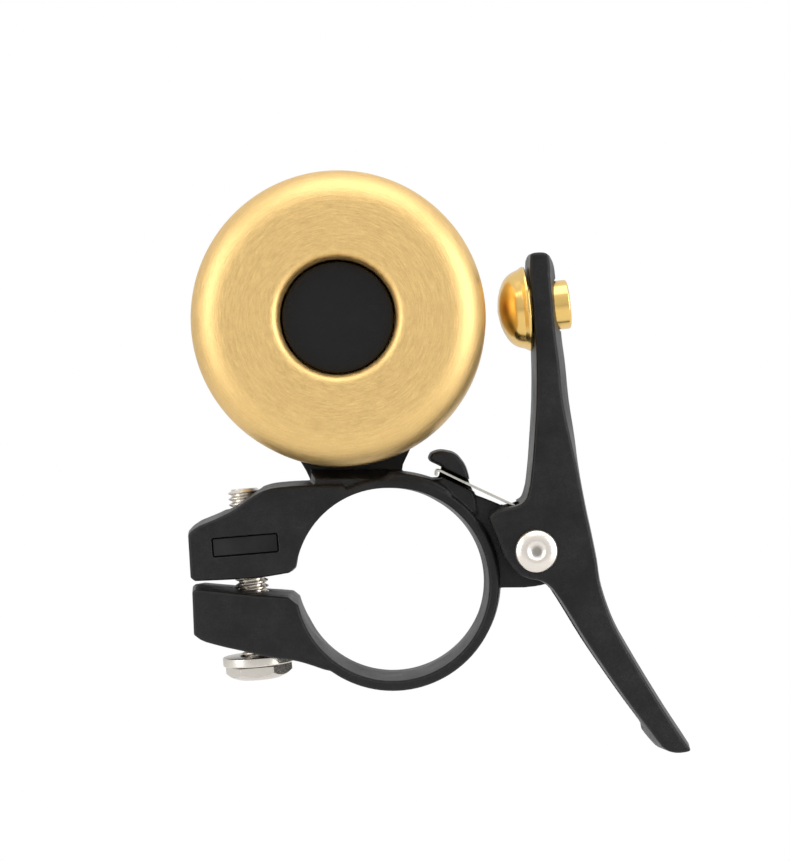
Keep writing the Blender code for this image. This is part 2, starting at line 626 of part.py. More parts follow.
def striker(material):
    """One turned piece: a button with a flange against the arm and a shank through it."""
    high, rim = STRIKER_HEIGHT, STRIKER_DIAMETER / 2
    shank = STRIKER_SHANK / 2
    profile = [
        (0, high), (1.2, high - 0.1), (2.45, high - 0.42), (3.5, high - 1.0), (4.22, high - 1.7), (4.62, high - 2.45),
        (4.72, 0.85), (rim - 0.1, 0.75), (rim, 0.6), (rim, 0.15), (rim - 0.15, 0), (shank, 0),
        (shank, -STRIKER_LENGTH + 0.25), (shank - 0.25, -STRIKER_LENGTH), (0, -STRIKER_LENGTH),
    ]
    return on_striker_axis(turned("striker", profile, 48, material))


def hang(body, pieces):
    """An empty on the body's axis that carries its pieces."""
    bpy.context.view_layer.update()
    for piece in pieces:
        placed = piece.matrix_world.copy()
        piece.parent = body
        piece.matrix_parent_inverse = body.matrix_world.inverted()
        piece.matrix_world = placed


def axis_empty(name, x, y, z):
    body = bpy.data.objects.new(name, None)
    body.location = Vector((x, y, z)) * MM
    body.empty_display_size = 0.005
    bpy.context.scene.collection.objects.link(body)
    bpy.context.view_layer.update()
    return body


def main():
    for old in list(bpy.data.objects):
        bpy.data.objects.remove(old)
    bracket_body(paint("bracket_nylon", (0.021, 0.021, 0.023), 0.42, 0))
    bell_dome(paint("dome_brass", (0.67, 0.44, 0.16), 0.32, 1))
    washer(
        "dome_seat_washer", DOME_SCREW_DIAMETER / 2 + 0.4, 4.8, SEAT_WASHER_FRONT, SEAT_WASHER_BACK,
        paint("seat_rubber", (0.03, 0.03, 0.03), 0.8, 0),
    )
    washer(
        "dome_flat_washer", DOME_SCREW_DIAMETER / 2 + 0.2, 4.2, FLAT_WASHER_FRONT, FLAT_WASHER_BACK,
        paint("flat_washer_steel", (0.6, 0.6, 0.58), 0.35, 1),
    )
    dome_spring_washer(paint("spring_washer_steel", (0.45, 0.45, 0.44), 0.4, 1))
    dome_screw(paint("dome_screw_steel", (0.55, 0.55, 0.54), 0.3, 1))
    dome_cap(paint("cap_nylon", (0.023, 0.023, 0.025), 0.4, 0))
    leaf_spring(paint("spring_steel", (0.62, 0.61, 0.58), 0.25, 1))
    clamp_nut(paint("nut_blackened_steel", (0.04, 0.04, 0.042), 0.45, 1))
    clamp_washer(paint("clamp_washer_nickel", (0.7, 0.67, 0.6), 0.3, 1))
    clamp_screw(paint("clamp_screw_nickel", (0.72, 0.69, 0.62), 0.28, 1))
    pivot_rivet(paint("rivet_nickel", (0.74, 0.7, 0.64), 0.3, 1))
    pivot_washer(paint("pivot_washer_steel", (0.6, 0.6, 0.58), 0.35, 1))
    arm = lever_arm(paint("lever_nylon", (0.021, 0.021, 0.023), 0.4, 0))
    hammer = striker(paint("striker_brass", (0.8, 0.47, 0.1), 0.15, 1))
    hang(axis_empty("lever_axis", PIVOT_X, LEVER_Y, PIVOT_Z), [arm, hammer])


main()
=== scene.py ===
"""Bicycle bell: the finished look of the moulded clamp, the brass dome, the sprung lever and its hardware."""

import json
import math

import bpy
from mathutils import Matrix, Vector


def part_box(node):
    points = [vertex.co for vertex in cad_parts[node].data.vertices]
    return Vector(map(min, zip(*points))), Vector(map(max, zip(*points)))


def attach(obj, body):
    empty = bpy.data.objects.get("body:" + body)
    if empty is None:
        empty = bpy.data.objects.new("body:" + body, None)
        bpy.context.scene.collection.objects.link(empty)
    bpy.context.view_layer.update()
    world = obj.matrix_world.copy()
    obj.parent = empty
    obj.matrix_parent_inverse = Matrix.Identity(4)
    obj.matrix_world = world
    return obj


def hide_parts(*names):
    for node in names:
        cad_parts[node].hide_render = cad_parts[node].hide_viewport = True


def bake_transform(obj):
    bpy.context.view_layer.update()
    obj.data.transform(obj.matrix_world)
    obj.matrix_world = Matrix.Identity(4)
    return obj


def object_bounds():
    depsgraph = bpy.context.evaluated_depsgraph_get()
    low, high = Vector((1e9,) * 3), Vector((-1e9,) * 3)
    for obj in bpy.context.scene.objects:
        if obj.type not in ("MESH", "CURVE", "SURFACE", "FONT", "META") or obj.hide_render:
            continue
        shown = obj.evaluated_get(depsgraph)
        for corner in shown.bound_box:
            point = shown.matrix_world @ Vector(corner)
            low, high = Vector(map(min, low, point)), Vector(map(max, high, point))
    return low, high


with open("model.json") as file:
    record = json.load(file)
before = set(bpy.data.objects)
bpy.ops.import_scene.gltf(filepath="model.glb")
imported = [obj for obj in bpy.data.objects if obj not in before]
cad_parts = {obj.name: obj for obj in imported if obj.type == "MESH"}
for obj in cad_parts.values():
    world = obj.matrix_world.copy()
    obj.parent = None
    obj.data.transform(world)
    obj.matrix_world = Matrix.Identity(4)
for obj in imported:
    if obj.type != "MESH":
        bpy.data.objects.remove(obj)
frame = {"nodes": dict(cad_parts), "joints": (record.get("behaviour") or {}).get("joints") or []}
cad_low, cad_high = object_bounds()

MM = 0.001
FRONT = Vector((0, -1, 0))
JOINTS = {joint["name"]: joint for joint in frame["joints"]}

# Sizes that the solids leave plain, in millimetres
THREAD_PITCH = 0.7
THREAD_DEPTH = 0.42
STRIKER_TILT = 6.5  # degrees that the striker's axis leans down towards the dome
SPRING_THICKNESS = 0.27
SPRING_PATH = [
    (5.2, 12.95, 0), (5.22, 13.62, 0.24), (5.75, 13.52, 0.3), (10.15, 11.4, 9), (14.62, 9.33, 0),
]


# Where the pieces are


def along(node, centre, axis):
    """How far a solid reaches down and up an axis through a point, and its widest radius, in millimetres."""
    heights, radius = [], 0
    for vertex in frame["nodes"][node].data.vertices:
        offset = vertex.co - centre
        height = offset.dot(axis)
        heights.append(height / MM)
        radius = max(radius, (offset - axis * height).length / MM)
    return min(heights), max(heights), radius


def box_middle(node):
    low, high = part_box(node)
    return (low + high) / 2


def mesh_middle(node):
    """The mean of a turned solid's corners, which lies on its axis."""
    corners = frame["nodes"][node].data.vertices
    return sum((vertex.co for vertex in corners), Vector()) / len(corners)


# Modelling helpers


def rounded(corners, step=math.radians(8)):
    """A drawn outline of (x, y, fillet) corners as points, with an arc at each corner that has a fillet."""
    points = []
    for i, (x, y, fillet) in enumerate(corners):
        here = Vector((x, y))
        if fillet == 0:
            points.append(here)
            continue
        back = (Vector(corners[i - 1][:2]) - here).normalized()
        ahead = (Vector(corners[(i + 1) % len(corners)][:2]) - here).normalized()
        half = back.angle(ahead) / 2
        middle = here + (back + ahead).normalized() * fillet / math.sin(half)
        first = here + back * fillet / math.tan(half) - middle
        sweep = math.pi - 2 * half
        if back.cross(ahead) > 0:
            sweep = -sweep
        count = max(2, math.ceil(abs(sweep) / step))
        for k in range(count + 1):
            turn = sweep * k / count
            spoke = Vector((
                first.x * math.cos(turn) - first.y * math.sin(turn),
                first.x * math.sin(turn) + first.y * math.cos(turn),
            ))
            points.append(middle + spoke)
    return points


def deselect():
    bpy.ops.object.select_all(action="DESELECT")


def pick(piece):
    deselect()
    piece.select_set(True)
    bpy.context.view_layer.objects.active = piece


def edit(piece):
    pick(piece)
    bpy.ops.object.mode_set(mode="EDIT")
    bpy.ops.mesh.select_mode(type="VERT")
    bpy.ops.mesh.select_all(action="SELECT")


def leave_edit():
    bpy.ops.object.mode_set(mode="OBJECT")


def place(piece, matrix):
    """Moves a finished shape to its place and leaves that place in its mesh."""
    piece.matrix_world = matrix
    pick(piece)
    bpy.ops.object.transform_apply(location=True, rotation=True, scale=True)
    return piece


def axis_frame(centre, axis, facing=None):
    """Local Z along the axis; local X as near as it can be to a facing direction."""
    up = axis.normalized()
    hint = facing or Vector((1, 0, 0))
    side = (hint - up * hint.dot(up)).normalized()
    turn = Matrix((side, up.cross(side), up)).transposed().to_4x4()
    return Matrix.Translation(centre) @ turn


def modify(piece, kind, **settings):
    pick(piece)
    step = piece.modifiers.new(kind.lower(), kind)
    for name, value in settings.items():
        setattr(step, name, value)
    bpy.ops.object.modifier_apply(modifier=step.name)
    return piece


def combine(piece, tool, operation):
    """Cuts, joins or keeps a shape with another, which is then thrown away."""
    modify(piece, "BOOLEAN", operation=operation, solver="EXACT", object=tool)
    bpy.data.objects.remove(tool)
    return piece


def smooth(piece, degrees=35):
    pick(piece)
    bpy.ops.object.shade_smooth_by_angle(angle=math.radians(degrees))
    modify(piece, "WEIGHTED_NORMAL", keep_sharp=True, weight=60)
    return piece


def soften_edges(piece, width, segments=3, degrees=30):
    modify(
        piece, "BEVEL", width=width * MM, segments=segments, limit_method="ANGLE",
        angle_limit=math.radians(degrees), miter_outer="MITER_ARC",
    )
    return piece


def drawn_line(name, points):
    """A line in the local XZ plane, drawn by extruding one vertex from point to point."""
    deselect()
    bpy.ops.mesh.primitive_plane_add(size=MM)
    line = bpy.context.object
    line.name = name
    edit(line)
    bpy.ops.mesh.merge(type="CENTER")
    x, z = points[0]
    bpy.ops.transform.translate(value=(x * MM, 0, z * MM))
    for before, after in zip(points, points[1:]):
        step = Vector((after[0] - before[0], 0, after[1] - before[1])) * MM
        bpy.ops.mesh.extrude_vertices_move(TRANSFORM_OT_translate={"value": step})
    return line


def turned(name, outline, steps=96, closed=False):
    """A turned piece about local Z: its outline of (radius, height, fillet) is spun round once."""
    points = rounded(outline)
    if closed:
        points.append(points[0])
    piece = drawn_line(name, points)
    bpy.ops.mesh.select_all(action="SELECT")
    bpy.ops.mesh.spin(steps=steps, angle=2 * math.pi, center=(0, 0, 0), axis=(0, 0, 1))
    bpy.ops.mesh.select_all(action="SELECT")
    bpy.ops.mesh.remove_doubles(threshold=0.001 * MM)
    bpy.ops.mesh.normals_make_consistent(inside=False)
    leave_edit()
    return piece


def moulded_copy(node, voxel, passes, share):
    """A moulding with its small radii: the solid, rebuilt in fine even faces and relaxed along its edges."""
    solid = frame["nodes"][node]
    piece = solid.copy()
    piece.data = solid.data.copy()
    bpy.context.scene.collection.objects.link(piece)
    for key in list(piece.keys()):
        del piece[key]
    piece.parent = None
    edit(piece)
    bpy.ops.mesh.remove_doubles(threshold=0.001 * MM)
    leave_edit()
    modify(piece, "REMESH", mode="VOXEL", voxel_size=voxel * MM, use_smooth_shade=True)
    modify(piece, "SMOOTH", factor=0.5, iterations=passes)
    modify(piece, "DECIMATE", ratio=share)
    pick(piece)
    bpy.ops.object.shade_smooth()
    return piece


# Materials


def group(name, inputs, outputs):
    tree = bpy.data.node_groups.new(name, "ShaderNodeTree")
    for label, kind, value in inputs:
        made = tree.interface.new_socket(label, in_out="INPUT", socket_type=kind)
        if value is not None:
            made.default_value = value
    for label, kind in outputs:
        tree.interface.new_socket(label, in_out="OUTPUT", socket_type=kind)
    return tree, tree.nodes.new("NodeGroupInput"), tree.nodes.new("NodeGroupOutput")


def math_node(tree, operation, first, second=None, third=None, clamp=False):
    node = tree.nodes.new("ShaderNodeMath")
    node.operation = operation
    node.use_clamp = clamp
    for socket, value in zip(node.inputs, (first, second, third)):
        if value is None:
            continue
        if isinstance(value, (int, float)):
            socket.default_value = value
        else:
            tree.links.new(value, socket)
    return node.outputs[0]


def noise_node(tree, vector, scale, detail, roughness=0.5):
    node = tree.nodes.new("ShaderNodeTexNoise")
    tree.links.new(vector, node.inputs["Vector"])
    for label, value in (("Scale", scale), ("Detail", detail), ("Roughness", roughness)):
        if isinstance(value, (int, float)):
            node.inputs[label].default_value = value
        else:
            tree.links.new(value, node.inputs[label])
    return node.outputs["Fac"]


def range_node(tree, value, low, high, new_low, new_high):
    node = tree.nodes.new("ShaderNodeMapRange")
    tree.links.new(value, node.inputs["Value"])
    ends = (("From Min", low), ("From Max", high), ("To Min", new_low), ("To Max", new_high))
    for label, end in ends:
        node.inputs[label].default_value = end
    return node.outputs["Result"]


def mapping_node(tree, vector, location=(0, 0, 0), rotation=(0, 0, 0), scale=(1, 1, 1)):
    node = tree.nodes.new("ShaderNodeMapping")
    tree.links.new(vector, node.inputs["Vector"])
    node.inputs["Location"].default_value = location
    node.inputs["Rotation"].default_value = rotation
    node.inputs["Scale"].default_value = scale
    return node.outputs["Vector"]


def make_grain_group():
    """Moulded or blasted grain: fine height, and a slow tone that drifts over the surface."""
    tree, given, out = group(
        "surface_grain",
        [("Vector", "NodeSocketVector", None), ("Scale", "NodeSocketFloat", 9000.0)],
        [("Height", "NodeSocketFloat"), ("Tone", "NodeSocketFloat")],
    )
    fine = noise_node(tree, given.outputs["Vector"], given.outputs["Scale"], 3)
    coarse_scale = math_node(tree, "MULTIPLY", given.outputs["Scale"], 0.22)
    coarse = noise_node(tree, given.outputs["Vector"], coarse_scale, 2)
    both = math_node(tree, "MULTIPLY_ADD", coarse, 0.5, fine)
    tree.links.new(range_node(tree, both, 0.35, 1.15, 0, 1), out.inputs["Height"])
    slow_scale = math_node(tree, "MULTIPLY", given.outputs["Scale"], 0.03)
    slow = noise_node(tree, given.outputs["Vector"], slow_scale, 4, 0.6)
    tree.links.new(range_node(tree, slow, 0.3, 0.7, 0, 1), out.inputs["Tone"])
    return tree


def make_scuff_group():
    """Sparse hairline scuffs that run in a few directions."""
    tree, given, out = group(
        "hairline_scuffs",
        [("Vector", "NodeSocketVector", None), ("Density", "NodeSocketFloat", 0.5)],
        [("Mask", "NodeSocketFloat")],
    )
    total = None
    for turn, stretch in ((0.3, 14), (1.2, 20), (2.3, 17)):
        laid = mapping_node(
            tree, given.outputs["Vector"], rotation=(turn, turn * 1.7, turn * 0.6), scale=(1, stretch, stretch)
        )
        lines = noise_node(tree, laid, 320, 1)
        away = math_node(tree, "ABSOLUTE", math_node(tree, "SUBTRACT", lines, 0.5))
        hair = range_node(tree, away, 0.0, 0.012, 1, 0)
        where = range_node(tree, noise_node(tree, given.outputs["Vector"], 260 + 90 * turn, 2), 0.56, 0.66, 0, 1)
        drawn = math_node(tree, "MULTIPLY", hair, where)
        total = drawn if total is None else math_node(tree, "MAXIMUM", total, drawn)
    strength = math_node(tree, "MULTIPLY", total, given.outputs["Density"], clamp=True)
    tree.links.new(strength, out.inputs["Mask"])
    return tree


def make_ring_group():
    """Brushing that runs round an axis along Y through the vector's own origin."""
    tree, given, out = group(
        "ring_brushing",
        [("Vector", "NodeSocketVector", None), ("Fineness", "NodeSocketFloat", 9000.0)],
        [("Lines", "NodeSocketFloat"), ("Bands", "NodeSocketFloat")],
    )
    parts = tree.nodes.new("ShaderNodeSeparateXYZ")
    tree.links.new(given.outputs["Vector"], parts.inputs[0])
    x, y, z = parts.outputs
    squares = math_node(tree, "MULTIPLY_ADD", z, z, math_node(tree, "MULTIPLY", x, x))
    radius = math_node(tree, "MAXIMUM", math_node(tree, "SQRT", squares), 0.0001)
    across = math_node(tree, "ADD", radius, y)
    for label, fineness, sweep, low, high in (("Lines", 1.0, 8.0, 0.28, 0.72), ("Bands", 0.2, 3.0, 0.25, 0.75)):
        laid = tree.nodes.new("ShaderNodeCombineXYZ")
        fine = math_node(tree, "MULTIPLY", given.outputs["Fineness"], fineness)
        tree.links.new(math_node(tree, "MULTIPLY", across, fine), laid.inputs["X"])
        for socket, side in (("Y", x), ("Z", z)):
            around = math_node(tree, "DIVIDE", side, radius)
            tree.links.new(math_node(tree, "MULTIPLY", around, sweep), laid.inputs[socket])
        streaks = noise_node(tree, laid.outputs[0], 1, 3, 0.6)
        tree.links.new(range_node(tree, streaks, low, high, 0, 1), out.inputs[label])
    return tree


SURFACE_GRAIN = make_grain_group()
HAIRLINE_SCUFFS = make_scuff_group()
RING_BRUSHING = make_ring_group()


class Finish:
    """A material under construction: its Principled shader, and the object's own coordinates."""

    def __init__(self, name, roughness, metallic=0.0, **plain):
        self.material = bpy.data.materials.new(name)
        self.material.use_nodes = True
        self.tree = self.material.node_tree
        self.shader = self.tree.nodes["Principled BSDF"]
        self.shader.inputs["Roughness"].default_value = roughness
        self.shader.inputs["Metallic"].default_value = metallic
        for label, value in plain.items():
            self.shader.inputs[label.replace("_", " ")].default_value = value
        self.coordinates = self.tree.nodes.new("ShaderNodeTexCoord").outputs["Object"]

    def use(self, tree, vector=None, **values):
        node = self.tree.nodes.new("ShaderNodeGroup")
        node.node_tree = tree
        self.tree.links.new(vector or self.coordinates, node.inputs["Vector"])
        for label, value in values.items():
            node.inputs[label].default_value = value
        return node.outputs

    def colour(self, amount, low, high):
        """Base colour from one tone to another as an amount goes from 0 to 1."""
        mix = self.tree.nodes.new("ShaderNodeMix")
        mix.data_type = "RGBA"
        self.tree.links.new(amount, mix.inputs["Factor"])
        mix.inputs["A"].default_value = (*low, 1)
        mix.inputs["B"].default_value = (*high, 1)
        self.tree.links.new(mix.outputs["Result"], self.shader.inputs["Base Color"])

    def roughness(self, amount, low, high):
        self.tree.links.new(range_node(self.tree, amount, 0, 1, low, high), self.shader.inputs["Roughness"])

    def bump(self, height, strength, depth):
        node = self.tree.nodes.new("ShaderNodeBump")
        node.inputs["Strength"].default_value = strength
        node.inputs["Distance"].default_value = depth * MM
        self.tree.links.new(height, node.inputs["Height"])
        self.tree.links.new(node.outputs["Normal"], self.shader.inputs["Normal"])


def moulded_nylon(name, low, high, smoothest, roughest):
    finish = Finish(name, 0.45, Specular_IOR_Level=0.25)
    grain = finish.use(SURFACE_GRAIN, Scale=5200.0)
    scuffs = finish.use(HAIRLINE_SCUFFS, Density=0.35)["Mask"]
    lift = math_node(finish.tree, "MULTIPLY", grain["Height"], grain["Tone"])
    lift = math_node(finish.tree, "MULTIPLY_ADD", scuffs, 0.5, lift, clamp=True)
    finish.colour(lift, low, high)
    finish.roughness(grain["Tone"], smoothest, roughest)
    height = math_node(finish.tree, "MULTIPLY_ADD", scuffs, -0.8, grain["Height"])
    finish.bump(height, 0.8, 0.035)
    return finish.material


def brushed_brass():
    middle = box_middle("bell_dome")
    finish = Finish("dome_brass", 0.46, 1.0, Coat_Weight=0.1, Coat_Roughness=0.4)
    centred = mapping_node(finish.tree, finish.coordinates, location=-middle)
    rings = finish.use(RING_BRUSHING, centred, Fineness=5200.0)
    grain = finish.use(SURFACE_GRAIN, Scale=4600.0)
    tone = math_node(finish.tree, "MULTIPLY_ADD", rings["Lines"], 0.45, 0.05)
    tone = math_node(finish.tree, "MULTIPLY_ADD", rings["Bands"], 0.12, tone)
    tone = math_node(finish.tree, "MULTIPLY_ADD", grain["Height"], 0.35, tone, clamp=True)
    finish.colour(tone, (0.62, 0.41, 0.155), (0.86, 0.61, 0.26))
    finish.roughness(rings["Lines"], 0.38, 0.54)
    height = math_node(finish.tree, "MULTIPLY_ADD", grain["Height"], 0.6, rings["Lines"])
    finish.bump(height, 0.5, 0.025)
    return finish.material


def polished_brass():
    finish = Finish("striker_brass", 0.2, 1.0, Coat_Weight=0.15, Coat_Roughness=0.1)
    grain = finish.use(SURFACE_GRAIN, Scale=3500.0)
    scuffs = finish.use(HAIRLINE_SCUFFS, Density=0.6)["Mask"]
    finish.colour(grain["Tone"], (0.76, 0.5, 0.15), (0.86, 0.6, 0.22))
    rough = math_node(finish.tree, "MULTIPLY_ADD", scuffs, 0.7, grain["Tone"], clamp=True)
    finish.roughness(rough, 0.16, 0.28)
    finish.bump(math_node(finish.tree, "MULTIPLY_ADD", scuffs, -0.6, grain["Height"]), 0.12, 0.01)
    return finish.material


def plated(name, low, high, smoothest, roughest, scale=3200.0, relief=0.2):
    """A plated or bare steel: a slow drift of tone, fine hairlines and a faint grain."""
    finish = Finish(name, (smoothest + roughest) / 2, 1.0)
    grain = finish.use(SURFACE_GRAIN, Scale=scale)
    scuffs = finish.use(HAIRLINE_SCUFFS, Density=0.7)["Mask"]
    finish.colour(grain["Tone"], low, high)
    rough = math_node(finish.tree, "MULTIPLY_ADD", scuffs, 0.5, grain["Tone"], clamp=True)
    finish.roughness(rough, smoothest, roughest)
    finish.bump(math_node(finish.tree, "MULTIPLY_ADD", scuffs, -0.6, grain["Height"]), relief, 0.01)
    return finish.material


def riveted_nickel():
    """Plated steel whose punched dimple is rougher, with painted shade darkening the recess."""
    middle = box_middle("pivot_rivet")
    finish = Finish("rivet_nickel", 0.35, 1.0)
    tree = finish.tree
    grain = finish.use(SURFACE_GRAIN, Scale=3200.0)
    flat = mapping_node(tree, finish.coordinates, location=(-middle.x, 0, -middle.z), scale=(1, 0, 1))
    reach = tree.nodes.new("ShaderNodeVectorMath")
    reach.operation = "LENGTH"
    tree.links.new(flat, reach.inputs[0])
    ragged = math_node(tree, "MULTIPLY_ADD", grain["Tone"], 0.0005, reach.outputs["Value"])
    # Painted shade: this mask darkens the dimple's base colour where the recess falls in shade, and also raises its
    # roughness.
    dimple_shade_and_dullness = range_node(tree, ragged, 0.0009, 0.0014, 1, 0)
    bright = math_node(tree, "MULTIPLY", grain["Tone"], 0.3)
    tone = math_node(tree, "ADD", math_node(tree, "SUBTRACT", 1.0, dimple_shade_and_dullness), bright, clamp=True)
    finish.colour(tone, (0.16, 0.155, 0.15), (0.76, 0.71, 0.65))
    finish.roughness(dimple_shade_and_dullness, 0.3, 0.5)
    finish.bump(grain["Height"], 0.25, 0.01)
    return finish.material


def seat_rubber():
    finish = Finish("seat_rubber", 0.75, Specular_IOR_Level=0.3)
    grain = finish.use(SURFACE_GRAIN, Scale=5000.0)
    finish.colour(grain["Tone"], (0.02, 0.02, 0.02), (0.04, 0.038, 0.036))
    finish.roughness(grain["Tone"], 0.65, 0.85)
    finish.bump(grain["Height"], 0.5, 0.02)
    return finish.material


FINISHES = {
    "bracket_nylon": moulded_nylon("bracket_nylon", (0.0035, 0.0035, 0.004), (0.022, 0.021, 0.0215), 0.34, 0.52),
    "lever_nylon": moulded_nylon("lever_nylon", (0.0035, 0.0035, 0.004), (0.022, 0.021, 0.0215), 0.32, 0.5),
    "cap_nylon": moulded_nylon("cap_nylon", (0.004, 0.004, 0.0045), (0.0065, 0.0065, 0.007), 0.3, 0.4),
    "dome_brass": brushed_brass(),
    "striker_brass": polished_brass(),
    "rubber": seat_rubber(),
    "spring_steel": plated("spring_steel", (0.5, 0.48, 0.44), (0.72, 0.69, 0.63), 0.16, 0.34),
    "plain_steel": plated("plain_steel", (0.5, 0.5, 0.49), (0.66, 0.66, 0.64), 0.25, 0.42),
    "black_steel": plated("black_steel", (0.02, 0.02, 0.021), (0.042, 0.041, 0.041), 0.42, 0.58, relief=0.35),
    "nickel": plated("nickel", (0.6, 0.56, 0.5), (0.74, 0.7, 0.64), 0.22, 0.36),
}


def finish_piece(piece, node, body, slot, finish=None):
    """Gives a piece its finish and its body, and puts it in the place of its solid."""
    piece.data.materials.clear()
    piece.data.materials.append(finish or FINISHES[slot])
    if body:
        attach(piece, body)
    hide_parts(node)


# The mouldings


def bracket_moulding():
    piece = moulded_copy("bracket_body", 0.13, 4, 0.28)
    piece.name = "clamp_bracket"
    finish_piece(piece, "bracket_body", "bracket", "bracket_nylon")


def lever_moulding():
    piece = moulded_copy("lever_arm", 0.13, 4, 0.4)
    piece.name = "thumb_lever"
    finish_piece(piece, "lever_arm", "lever", "lever_nylon")


# The bell


def bell():
    """The dome: a flat face round a deep well with a rounded lip, a round shoulder and a skirt that flares."""
    middle = box_middle("bell_dome")
    back, front, radius = along("bell_dome", middle, FRONT)
    well = along("dome_cap", box_middle("dome_cap"), FRONT)[2] + 0.15
    cap_foot = along("dome_cap", middle, FRONT)[0]
    floor = cap_foot - 0.15
    mouth = well + 0.1
    wall = 0.9
    hole = 2.2
    outline = [
        (well, floor, 0), (mouth, front, 1.25), (radius - 0.45, front - 0.35, 4.5), (radius - 0.25, front - 7, 9),
        (radius, back + 0.3, 0.12), (radius - 0.12, back, 0.1), (radius - wall + 0.05, back, 0.1),
        (radius - wall - 0.25, front - 7, 7), (radius - wall - 0.55, front - 1.3, 3.7),
        (mouth + wall, front - wall, 0.5), (well + wall, floor - wall, 0.6), (hole, floor - wall, 0), (hole, floor, 0),
    ]
    piece = turned("brass_dome", outline, steps=160, closed=True)
    place(piece, axis_frame(middle, FRONT))
    smooth(piece)
    finish_piece(piece, "bell_dome", "bracket", "dome_brass")


def well_cap():
    middle = box_middle("dome_cap")
    back, front, radius = along("dome_cap", middle, FRONT)
    outline = [
        (0, front - 0.06, 0), (radius - 1.6, front - 0.02, 3), (radius - 0.02, front - 0.1, 0.32),
        (radius, front - 1.2, 0.1), (radius - 0.35, front - 1.6, 0.1), (radius - 0.35, back, 0.1),
        (radius - 1.3, back, 0.1), (radius - 1.3, front - 1.1, 0.3), (0, front - 1.1, 0),
    ]
    piece = turned("well_cap", outline)
    place(piece, axis_frame(middle, FRONT))
    smooth(piece)
    finish_piece(piece, "dome_cap", "bracket", "cap_nylon")


# The striker and the pivot


def striker_button():
    """One turned piece: a domed button, a thin brim against the arm, and a shank through it."""
    lean = math.radians(STRIKER_TILT)
    axis = Vector((-math.cos(lean), 0, -math.sin(lean)))
    middle = mesh_middle("striker")
    low, high, radius = along("striker", middle, axis)
    brim = high - 3.7
    shank = 2.95
    outline = [
        (0, high, 0), (2.25, high - 0.26, 6), (4.25, high - 1.4, 2.5), (radius - 0.3, brim + 0.82, 0.4),
        (radius, brim + 0.34, 0.2), (radius, brim + 0.02, 0.14), (shank, brim, 0), (shank, brim - 0.8, 0),
        (shank, low, 0.28), (0.9, low, 0.2), (0.6, low + 0.25, 0.2), (0, low + 0.3, 0),
    ]
    piece = turned("brass_striker", outline)
    place(piece, axis_frame(middle, axis))
    smooth(piece, 40)
    finish_piece(piece, "striker", "lever", "striker_brass")


def rivet():
    middle = box_middle("pivot_rivet")
    back, front, radius = along("pivot_rivet", middle, FRONT)
    seat = front - 1.05
    shank = 1.5
    outline = [
        (0, front - 0.5, 0), (0.6, front - 0.42, 0.7), (1.15, front - 0.03, 0.6), (1.75, front - 0.14, 1.4),
        (radius - 0.12, seat + 0.55, 0.45), (radius, seat + 0.2, 0.3), (radius - 0.05, seat, 0.05), (shank, seat, 0),
        (shank, back + 0.95, 0),
        (2.3, back + 0.95, 0.1), (2.35, back + 0.5, 0.3), (1.6, back + 0.08, 0.8), (0, back, 0),
    ]
    piece = turned("lever_rivet", outline)
    place(piece, axis_frame(middle, FRONT))
    smooth(piece)
    finish_piece(piece, "pivot_rivet", "bracket", "nickel", riveted_nickel())


def rivet_washer():
    middle = box_middle("pivot_washer")
    back, front, radius = along("pivot_washer", middle, FRONT)
    piece = turned("rivet_washer", ring_outline(1.65, radius, back, front, 0.12), closed=True)
    place(piece, axis_frame(middle, FRONT))
    smooth(piece)
    finish_piece(piece, "pivot_washer", "bracket", "plain_steel")


def ring_outline(inner, outer, low, high, edge):
    return [(inner, low, edge), (inner, high, edge), (outer, high, edge), (outer, low, edge)]


# The clamp screw, its washer and its nut


def clamp_axis():
    joint = JOINTS["clamp_screw_turn"]
    return Vector(joint["pos_m"]), -Vector(joint["axis"]).normalized()


def threaded_rod(name, low, high, radius):
    """A rod with a real thread: one pitch of its profile is wound up the rod, and both ends are cut flat."""
    root = radius - THREAD_DEPTH
    form = [
        (root, 0), (root, 0.09), (radius, 0.31), (radius, 0.42), (root, 0.64), (root, THREAD_PITCH),
    ]
    start = low - 2 * THREAD_PITCH
    rod = drawn_line(name, [(x, start + z) for x, z in form])
    leave_edit()
    turns = math.ceil((high - start) / THREAD_PITCH) + 2
    modify(
        rod, "SCREW", axis="Z", angle=2 * math.pi, screw_offset=THREAD_PITCH * MM, iterations=turns, steps=40,
        render_steps=40, use_merge_vertices=True, merge_threshold=0.001 * MM,
    )
    for height, clear in ((low, {"clear_inner": True}), (high, {"clear_outer": True})):
        edit(rod)
        bpy.ops.mesh.bisect(
            plane_co=(0, 0, height * MM), plane_no=(0, 0, 1), use_fill=True, threshold=0.0001 * MM, **clear,
        )
        leave_edit()
    edit(rod)
    bpy.ops.mesh.remove_doubles(threshold=0.001 * MM)
    bpy.ops.mesh.normals_make_consistent(inside=False)
    leave_edit()
    return rod


